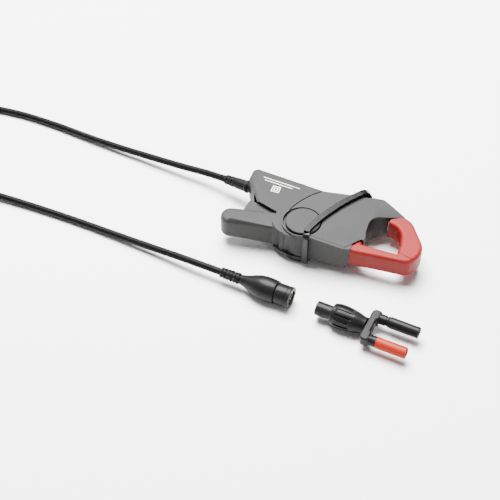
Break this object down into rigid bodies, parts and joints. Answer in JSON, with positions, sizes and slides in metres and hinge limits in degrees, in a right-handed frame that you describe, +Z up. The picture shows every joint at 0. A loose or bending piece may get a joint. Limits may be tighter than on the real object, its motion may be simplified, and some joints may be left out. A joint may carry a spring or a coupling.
{
  "type": "clamp-on oscilloscope current probe",
  "caption": "Clamp-on AC current probe for an oscilloscope, with a hinged red-tipped jaw, trigger lever, coax cord with BNC plug, and a BNC to twin banana adapter.",
  "frame": {"origin": "on the jaw pivot's axis, at the flat boss under the lower cover, which is the surface that the clamp lies on", "axes": "+X to the jaw tips, +Y to the fixed jaw's side, +Z up, out of the upper cover"},
  "size_m": [0.425, 0.1372, 0.0305],
  "materials": {
    "grey_shell": "satin moulded, fine grain",
    "dark_guard": "glossy",
    "red_tip": "satin",
    "core_steel": "ground laminations",
    "bobbin_plastic": "natural nylon",
    "enamelled_wire": "enamelled copper",
    "bright_steel": "bright",
    "board_green": "solder mask",
    "black_component": "satin",
    "diode_glass": "glass",
    "lead_insulation": "smooth",
    "cord_jacket": "semi-gloss vinyl",
    "plug_silver": "nickel plate",
    "black_boot": "semi-gloss rubber",
    "white_insulator": "smooth",
    "black_moulding": "semi-gloss",
    "gold_contact": "gold flash",
    "seal_rubber": "silicone",
    "bush_brass": "turned",
    "red_sheath_plastic": "semi-gloss"
  },
  "bodies": {
    "case": {"upper_cover": "grey_shell", "lower_cover": "grey_shell", "finger_guard": "dark_guard", "fixed_jaw_tip": "red_tip", "fixed_core": "core_steel", "coil_bobbin": "bobbin_plastic", "coil_winding": "enamelled_wire", "pivot_pin": "bright_steel", "return_spring": "bright_steel", "circuit_board": "board_green", "burden_resistors": "black_component", "limiter_diodes": "diode_glass", "range_switch": "black_component", "case_screws": "bright_steel", "coil_leads": "enamelled_wire", "signal_leads": "lead_insulation", "cord_inner_end": "cord_jacket", "cord_crimp_ring": "plug_silver", "cable_boot": "black_boot", "cord_case_run": "cord_jacket", "cord_coil": "cord_jacket", "cord_plug_run": "cord_jacket", "plug_boot": "black_boot", "plug_cable_core": "white_insulator", "plug_body": "black_moulding", "crimp_ferrule": "plug_silver", "plug_shell": "plug_silver", "plug_insulator": "white_insulator", "plug_center_pin": "gold_contact", "plug_gasket": "seal_rubber", "snap_ring": "bright_steel"},
    "jaw_lever": {"lever_arm": "grey_shell", "moving_jaw_tip": "red_tip", "moving_core": "core_steel", "core_leaf_spring": "bright_steel", "pivot_bush": "bush_brass", "moving_guard": "dark_guard"},
    "range_knob": {"range_knob": "black_component"},
    "plug_nut": {"coupling_sleeve": "black_moulding", "bayonet_ring": "black_moulding"},
    "adapter": {"adapter_jack_barrel": "black_moulding", "adapter_jack_liner": "plug_silver", "adapter_insulator": "white_insulator", "adapter_socket_contact": "gold_contact", "adapter_grip": "black_moulding", "adapter_yoke": "black_moulding", "adapter_leads": "gold_contact", "sheath_collar": "black_moulding", "black_sheath": "black_moulding", "red_sheath": "red_sheath_plastic", "black_pin": "gold_contact", "red_pin": "gold_contact"}
  },
  "joints": [
    {"name": "jaw_pivot", "type": "hinge", "parent": "case", "child": "jaw_lever", "pos_m": [0, 0, 0.01525], "axis": [0, 0, -1], "range_deg": [0, 16], "stiffness_Nm_per_rad": 0.9, "springref_deg": -14.32, "deforming": ["return_spring"]},
    {"name": "range_slide", "type": "slide", "parent": "case", "child": "range_knob", "axis": [1, 0, 0], "range_m": [0, 0.004]},
    {"name": "coupling_turn", "type": "hinge", "parent": "case", "child": "plug_nut", "pos_m": [0.00468, -0.05098, 0.0082], "axis": [0.9932, -0.1167, 0], "range_deg": [0, 90]},
    {"name": "adapter_slide", "type": "slide", "parent": "case", "child": "adapter", "axis": [-0.9932, 0.1167, 0], "range_m": [0, 0.0292]}
  ]
}
